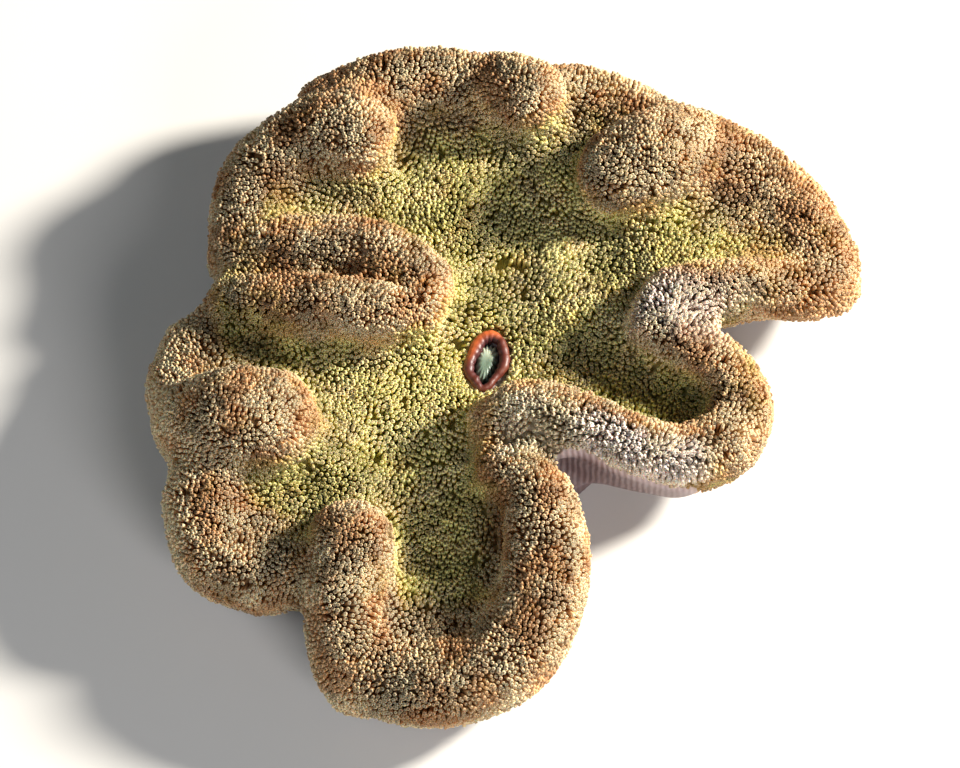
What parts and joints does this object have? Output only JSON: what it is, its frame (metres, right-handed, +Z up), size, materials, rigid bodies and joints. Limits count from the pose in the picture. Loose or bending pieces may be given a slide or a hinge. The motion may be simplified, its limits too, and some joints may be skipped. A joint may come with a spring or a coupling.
{
  "type": "carpet anemone",
  "caption": "Life-size carpet sea anemone with an oral disc whose margin rises in meandering folds, on a short column and broad foot.",
  "frame": {"origin": "middle of the foot's flat underside, on the floor", "axes": "+Z up, +Y from the long south-east fold's side to the back, +X to the right"},
  "size_m": [0.3977, 0.4032, 0.1015],
  "materials": {
    "underside": "matte wet skin",
    "disc_flesh": "satin wet flesh with knobbed tentacles",
    "fold_flesh": "satin wet flesh with knobbed tentacles",
    "lip_flesh": "glossy wet membrane",
    "throat_flesh": "glossy wet membrane"
  },
  "bodies": {
    "root": {"foot": "underside", "column": "underside", "oral_disc": "disc_flesh", "mouth_lips": "lip_flesh", "throat": "throat_flesh", "east_arm": "fold_flesh", "east_field": "fold_flesh", "north_east_knob": "fold_flesh", "north_crest": "fold_flesh", "north_west_dome": "fold_flesh", "west_fold": "fold_flesh", "west_dome": "fold_flesh", "south_west_lobe": "fold_flesh", "south_west_fold": "fold_flesh", "south_fold": "fold_flesh", "south_east_fold": "fold_flesh", "south_east_arm": "fold_flesh"}
  },
  "joints": []
}
